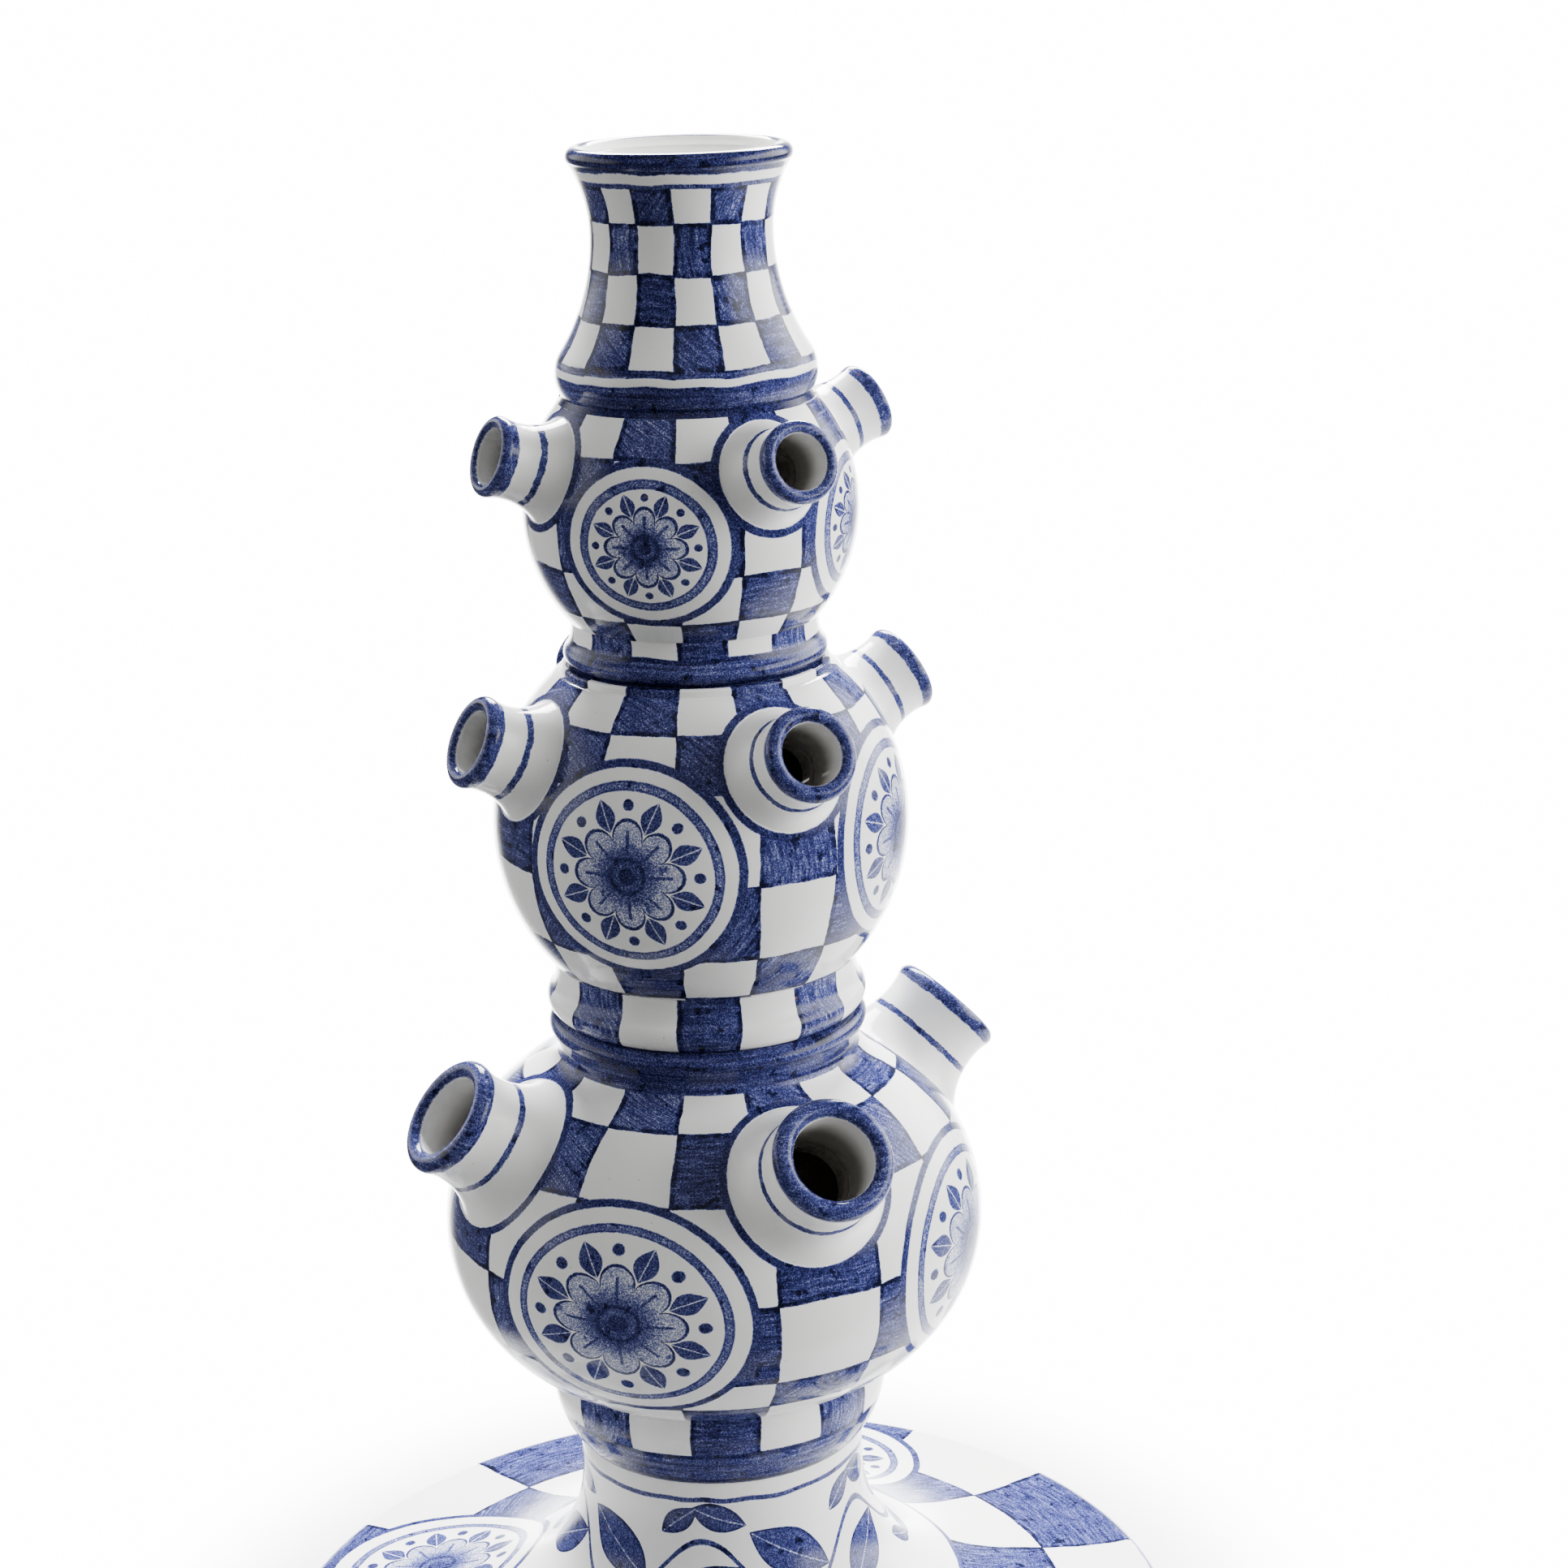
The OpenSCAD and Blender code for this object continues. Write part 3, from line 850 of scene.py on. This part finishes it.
def neck_paint(at):
    """Checks between two lines, the band below them and the lip."""
    blue = checks(at, at.z, NECK_ROWS, 1)
    blue = blue * (1 - at.z.fade(CHECKS_FOOT, CHECKS_FOOT + 0.4))
    band = at.z.near(NECK_BAND, 5.0).math("MAXIMUM", at.z.near(FOOT_LINE, 0.9))
    blue = over(banded(at, 0.79), band, blue)
    blue = over(0.92, at.z.near(JOIN_LINE, 1.7), blue)
    blue = blue * (1 - at.z.fade(NECK_ROWS[0] + 0.2, NECK_ROWS[0] - 0.2))
    blue = over(0.70, at.z.near(TOP_LINE, 0.7), blue)
    blue = blue * at.outside
    lip = (at.z + at.rag).fade(LIP_FOOT, LIP_FOOT - 0.6)
    lip = lip * at.r.fade(MOUTH_R - 5.0, MOUTH_R - 5.6)
    return over(banded(at, 0.89), lip, blue)


clay = spun(neck_outline())
hand_sway(clay)
piece("upper_neck", clay, glaze("neck_glaze", TURNS["upper"], neck_paint))

# The stage is a plain pale floor that fades into a white backdrop. A soft lamp hangs above and
# behind the tower, with soft glows behind it, at its sides, low on the right and above the camera,
# which stands a little higher than the tower and looks down at it.
FLOOR_R = 1.2
FLOOR_FADE = (0.26, 0.177)
CAMERA_TURN = math.radians(-27.0)
CAMERA_AWAY = 1.162
CAMERA_HEIGHT = 0.6851
CAMERA_YAW = math.radians(1.50)
CAMERA_PITCH = math.radians(16.12)
CAMERA_ROLL = math.radians(1.51)
CAMERA_LENS = 76.4
BACKDROP = 16.0
ROOM = 0.13
GROUND = 0.14
BEHIND = 10
HALO = 6
LEFT = 3.8
RIGHT = 15
LOW_RIGHT = 6
FRONT = 0.6
LAMP_POWER = 640
LAMP_SIZE = (1.8, 1.0)
LAMP_PLACE = (0.1, 1.9, 1.9)
LAMP_AIM = (0, 0, 0.2)

bpy.ops.mesh.primitive_circle_add(vertices=96, radius=FLOOR_R, fill_type="NGON")
floor = bpy.context.object
floor.name = "floor"
pale = bpy.data.materials.new("pale_floor")
pale.use_nodes = True
tree = pale.node_tree
tree.nodes.clear()
here = Brush(tree).node("ShaderNodeTexCoord", output="Object")
away = here.node("ShaderNodeVectorMath", {"operation": "LENGTH"}, {0: here}, "Value")
matt = here.node(
    "ShaderNodeBsdfPrincipled", None,
    {"Base Color": (0.92, 0.92, 0.92, 1), "Roughness": 0.9, "Specular IOR Level": 0.1})
clear = here.node("ShaderNodeBsdfTransparent")
ground = here.node("ShaderNodeMixShader", None, {0: away.fade(*FLOOR_FADE), 1: matt, 2: clear})
ground.node("ShaderNodeOutputMaterial", None, {"Surface": ground})
floor.data.materials.append(pale)

turn_to_camera = Matrix.Rotation(CAMERA_TURN, 4, "Z")
sky = bpy.data.worlds.new("studio")
sky.use_nodes = True
tree = sky.node_tree
tree.nodes.clear()
outward = Brush(tree).node("ShaderNodeTexCoord", output="Generated")


def glow_towards(aside, rise, wide, narrow):
    """A soft patch of light, in degrees to the right of the camera's view and up. It is full
    within the narrow angle of its middle and gone at the wide one."""
    rise = math.radians(rise)
    aim = turn_to_camera @ Matrix.Rotation(math.radians(-aside), 4, "Z")
    aim = aim @ Vector((0, math.cos(rise), math.sin(rise)))
    facing_it = outward.node(
        "ShaderNodeVectorMath", {"operation": "DOT_PRODUCT"}, {0: outward, 1: aim}, "Value")
    return facing_it.fade(math.cos(math.radians(narrow)), math.cos(math.radians(wide)))


backdrop = glow_towards(aside=0, rise=-16, wide=26, narrow=19)
around = glow_towards(aside=5, rise=-18, wide=46, narrow=10)
climb = outward.node("ShaderNodeSeparateXYZ", None, {0: outward}, "Z")
level = climb.fade(0.10, -0.06) * climb.fade(0.40, 0.70)
left = glow_towards(aside=-75, rise=4, wide=48, narrow=26) * level
right = glow_towards(aside=84, rise=4, wide=52, narrow=28) * level
below = glow_towards(aside=62, rise=-50, wide=42, narrow=18)
front = glow_towards(aside=180, rise=62, wide=42, narrow=15)
down = climb.fade(-0.25, 0.05)
shade = (
    ROOM + GROUND * down + BEHIND * backdrop + HALO * around * around
    + LEFT * left + RIGHT * right + LOW_RIGHT * below + FRONT * front)
# The backdrop itself is seen plain white from every side.
seen = outward.node("ShaderNodeLightPath", output="Is Camera Ray")
shade = over(BACKDROP, seen, shade) / BACKDROP
grey = shade.node("ShaderNodeCombineColor", None, {0: shade, 1: shade, 2: shade})
glow = grey.node("ShaderNodeBackground", None, {"Color": grey, "Strength": BACKDROP})
glow.node("ShaderNodeOutputWorld", None, {"Surface": glow})
bpy.context.scene.world = sky

lamp = bpy.data.lights.new("top_light", "AREA")
lamp.shape = "RECTANGLE"
lamp.size, lamp.size_y = LAMP_SIZE
lamp.energy = LAMP_POWER
top_light = bpy.data.objects.new("top_light", lamp)
top_light.location = turn_to_camera @ Vector(LAMP_PLACE)
top_light.rotation_euler = (
    Vector(LAMP_AIM) - top_light.location).to_track_quat("-Z", "Y").to_euler()
bpy.context.scene.collection.objects.link(top_light)

camera = bpy.data.objects.new("camera", bpy.data.cameras.new("camera"))
camera.data.lens = CAMERA_LENS
camera.matrix_world = (
    turn_to_camera
    @ Matrix.Translation((0, -CAMERA_AWAY, CAMERA_HEIGHT))
    @ Matrix.Rotation(-CAMERA_YAW, 4, "Z")
    @ Matrix.Rotation(math.pi / 2 - CAMERA_PITCH, 4, "X")
    @ Matrix.Rotation(-CAMERA_ROLL, 4, "Z"))
bpy.context.scene.collection.objects.link(camera)
bpy.context.scene.camera = camera
